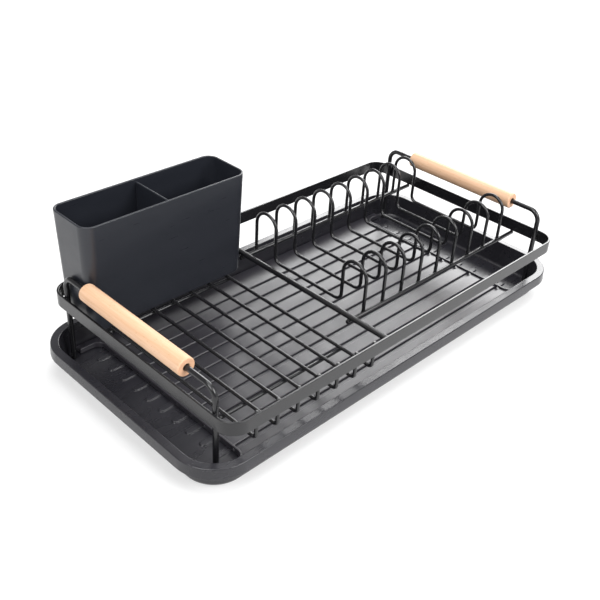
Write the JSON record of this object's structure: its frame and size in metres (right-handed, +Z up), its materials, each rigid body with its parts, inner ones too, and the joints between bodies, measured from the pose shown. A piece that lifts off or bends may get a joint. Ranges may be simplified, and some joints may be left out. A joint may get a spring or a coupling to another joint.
{
  "type": "dish drying rack",
  "caption": "Wire dish rack standing in a drip tray with a ribbed drain plate, arched plate supports, wooden end grips and a lift-out cutlery caddy.",
  "frame": {"origin": "centre of the footprint, on the table under the tray", "axes": "+X along the rack towards the plate supports, +Y towards the back, +Z up"},
  "size_m": [0.4726, 0.24, 0.1454],
  "materials": {
    "coated_steel": "black powder coat, semi-gloss",
    "tray_plastic": "satin moulded black plastic",
    "plate_plastic": "fine satin moulded black plastic",
    "caddy_plastic": "matte, finely textured black plastic",
    "beech": "sanded, unvarnished beech"
  },
  "bodies": {
    "tray": {"outer_tray": "tray_plastic"},
    "plate": {"drain_plate": "plate_plastic"},
    "rack": {"rack_band": "coated_steel", "cross_wire_1": "coated_steel", "cross_wire_2": "coated_steel", "cross_wire_3": "coated_steel", "cross_wire_4": "coated_steel", "cross_wire_5": "coated_steel", "cross_wire_6": "coated_steel", "cross_wire_7": "coated_steel", "lengthwise_wire_front": "coated_steel", "lengthwise_wire_back": "coated_steel", "divider_rod": "coated_steel", "plate_rail_front": "coated_steel", "plate_rail_back": "coated_steel", "plate_wire_1": "coated_steel", "plate_wire_2": "coated_steel", "plate_wire_3": "coated_steel", "plate_wire_4": "coated_steel", "plate_wire_5": "coated_steel", "plate_wire_6": "coated_steel", "plate_wire_7": "coated_steel", "plate_wire_8": "coated_steel", "plate_wire_9": "coated_steel", "handle_frame_left": "coated_steel", "handle_frame_right": "coated_steel"},
    "grip_left": {"grip_left": "beech"},
    "grip_right": {"grip_right": "beech"},
    "caddy": {"cutlery_caddy": "caddy_plastic"}
  },
  "joints": [
    {"name": "plate_lift", "type": "slide", "parent": "tray", "child": "plate", "axis": [0, 0, 1], "range_m": [0, 0.06]},
    {"name": "rack_lift", "type": "slide", "parent": "plate", "child": "rack", "axis": [0, 0, 1], "range_m": [0, 0.08]},
    {"name": "caddy_lift", "type": "slide", "parent": "rack", "child": "caddy", "axis": [0, 0, 1], "range_m": [0, 0.12]},
    {"name": "grip_left_turn", "type": "hinge", "parent": "rack", "child": "grip_left", "pos_m": [-0.21055, 0, 0.0885], "axis": [0, 1, 0], "continuous": true},
    {"name": "grip_right_turn", "type": "hinge", "parent": "rack", "child": "grip_right", "pos_m": [0.21055, 0, 0.0885], "axis": [0, 1, 0], "continuous": true}
  ]
}
